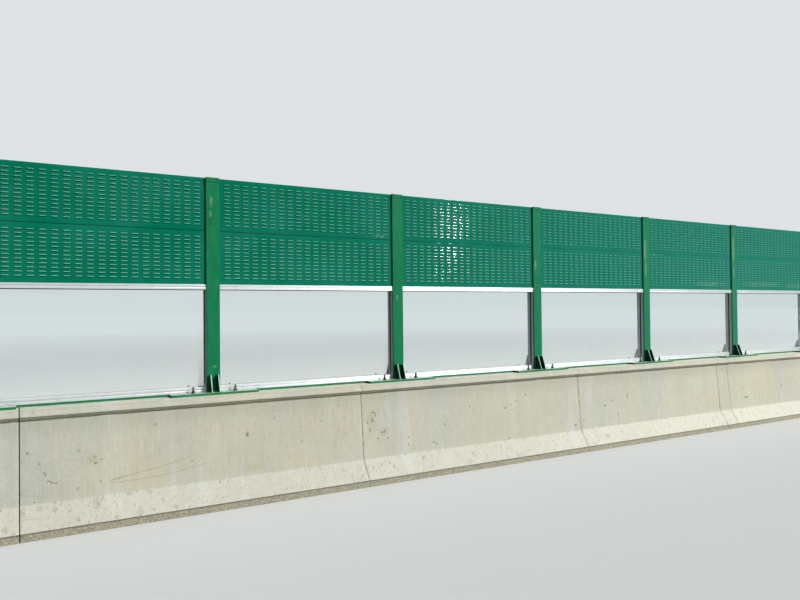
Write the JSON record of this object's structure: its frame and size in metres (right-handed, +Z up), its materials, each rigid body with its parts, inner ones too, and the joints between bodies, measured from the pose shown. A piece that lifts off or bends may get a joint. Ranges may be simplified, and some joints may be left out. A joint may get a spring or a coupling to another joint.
{
  "type": "highway noise barrier",
  "caption": "Run of highway noise barrier in bays: green H posts on a concrete parapet, a clear pane below and louvred absorptive panels above.",
  "frame": {"origin": "on the road surface, under the middle of the barrier's length and of the parapet's width", "axes": "+X along the barrier to the right as seen from the road, +Y away from the road, +Z up"},
  "size_m": [13, 0.62, 3.0239],
  "materials": {
    "concrete": "matte",
    "post_paint": "satin",
    "panel_paint": "satin",
    "frame_aluminium": "satin",
    "clear_pane": "gloss",
    "gasket_rubber": "matte",
    "bolt_zinc": "satin"
  },
  "bodies": {
    "root": {"parapet_cast_1": "concrete", "parapet_cast_2": "concrete", "parapet_cast_3": "concrete", "parapet_cast_4": "concrete", "parapet_cast_5": "concrete", "base_plates": "post_paint", "gussets": "post_paint", "sill_strips": "post_paint", "post_caps": "post_paint", "anchor_bolts": "bolt_zinc", "post_1": "post_paint", "post_2": "post_paint", "post_3": "post_paint", "post_4": "post_paint", "post_5": "post_paint", "post_6": "post_paint", "post_7": "post_paint", "glazing_frame_1": "frame_aluminium", "clear_pane_1": "clear_pane", "louvre_panel_lower_1": "panel_paint", "louvre_panel_upper_1": "panel_paint", "glazing_frame_2": "frame_aluminium", "clear_pane_2": "clear_pane", "louvre_panel_lower_2": "panel_paint", "louvre_panel_upper_2": "panel_paint", "glazing_frame_3": "frame_aluminium", "clear_pane_3": "clear_pane", "louvre_panel_lower_3": "panel_paint", "louvre_panel_upper_3": "panel_paint", "glazing_frame_4": "frame_aluminium", "clear_pane_4": "clear_pane", "louvre_panel_lower_4": "panel_paint", "louvre_panel_upper_4": "panel_paint", "glazing_frame_5": "frame_aluminium", "clear_pane_5": "clear_pane", "louvre_panel_lower_5": "panel_paint", "louvre_panel_upper_5": "panel_paint", "glazing_frame_6": "frame_aluminium", "clear_pane_6": "clear_pane", "louvre_panel_lower_6": "panel_paint", "louvre_panel_upper_6": "panel_paint", "pane_gaskets": "gasket_rubber"}
  },
  "joints": []
}
